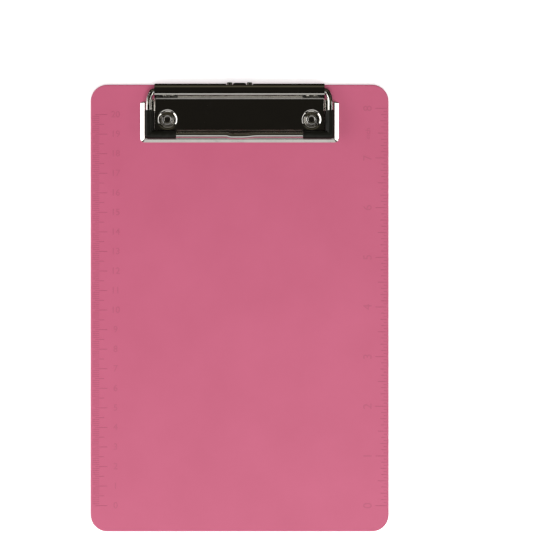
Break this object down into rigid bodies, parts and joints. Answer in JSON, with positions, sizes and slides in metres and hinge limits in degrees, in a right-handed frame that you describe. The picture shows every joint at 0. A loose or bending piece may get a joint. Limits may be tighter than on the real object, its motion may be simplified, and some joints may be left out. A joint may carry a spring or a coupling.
{
  "type": "clipboard",
  "caption": "Memo-size plastic clipboard with a pressed steel low-profile clip, a sprung wire clamp with rubber corner grips, and moulded ruler scales.",
  "frame": {"origin": "centre of the board's flat back face", "axes": "+X across the board to the right, +Y along the board towards the clip end, +Z out of the writing face"},
  "size_m": [0.1524, 0.2295, 0.0088],
  "materials": {
    "board_plastic": "smooth pink moulded plastic, slightly glossy",
    "clip_chrome": "bright nickel-chrome plating on pressed steel",
    "wire_chrome": "bright plated spring wire",
    "rivet_steel": "plated steel rivet",
    "grip_rubber": "satin black rubber"
  },
  "bodies": {
    "board": {"board": "board_plastic", "clip_base": "clip_chrome", "left_spring_leg": "wire_chrome", "right_spring_leg": "wire_chrome", "left_rivet": "rivet_steel", "right_rivet": "rivet_steel"},
    "clamp": {"wire_clamp": "wire_chrome", "left_corner_grip": "grip_rubber", "right_corner_grip": "grip_rubber"}
  },
  "joints": [
    {"name": "clamp_hinge", "type": "hinge", "parent": "board", "child": "clamp", "pos_m": [0, 0.1107, 0.0055], "axis": [-1, 0, 0], "range_deg": [0, 35], "stiffness_Nm_per_rad": 1.6, "springref_deg": -20.05}
  ]
}
